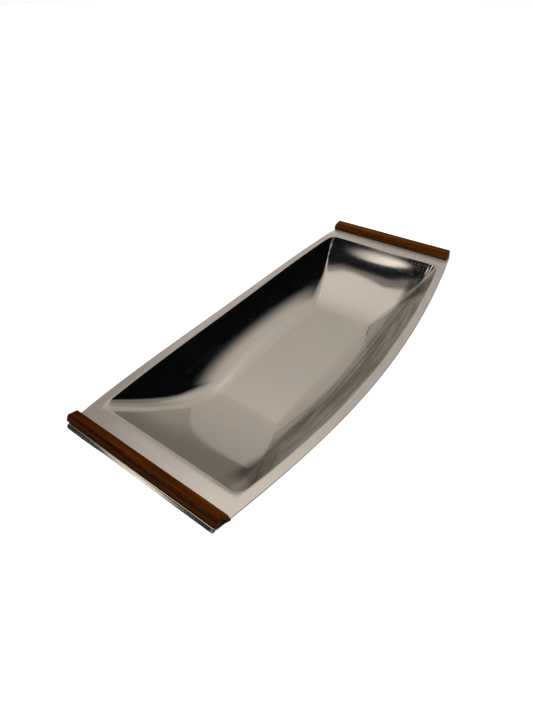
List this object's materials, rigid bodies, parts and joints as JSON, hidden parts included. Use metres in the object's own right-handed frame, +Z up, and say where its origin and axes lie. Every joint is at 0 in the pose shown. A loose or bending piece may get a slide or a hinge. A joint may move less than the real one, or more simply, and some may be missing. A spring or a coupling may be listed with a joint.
{
  "type": "serving tray",
  "caption": "Long shallow serving tray of pressed steel with a dished basin, bowed sides, rising ends and a wooden grip bar across each end.",
  "frame": {"origin": "on the table, under the middle of the flat floor", "axes": "+X across the tray, +Y along it towards the far grip bar, +Z up"},
  "size_m": [0.1532, 0.3548, 0.0455],
  "materials": {
    "polished_steel": "worn satin polish with fine scratches",
    "dark_wood": "oiled dark reddish brown hardwood with straight grain",
    "screw_steel": "plain bright steel"
  },
  "bodies": {
    "root": {"steel_pan": "polished_steel", "near_grip_bar": "dark_wood", "far_grip_bar": "dark_wood", "near_left_bar_screw": "screw_steel", "near_right_bar_screw": "screw_steel", "far_left_bar_screw": "screw_steel", "far_right_bar_screw": "screw_steel"}
  },
  "joints": []
}
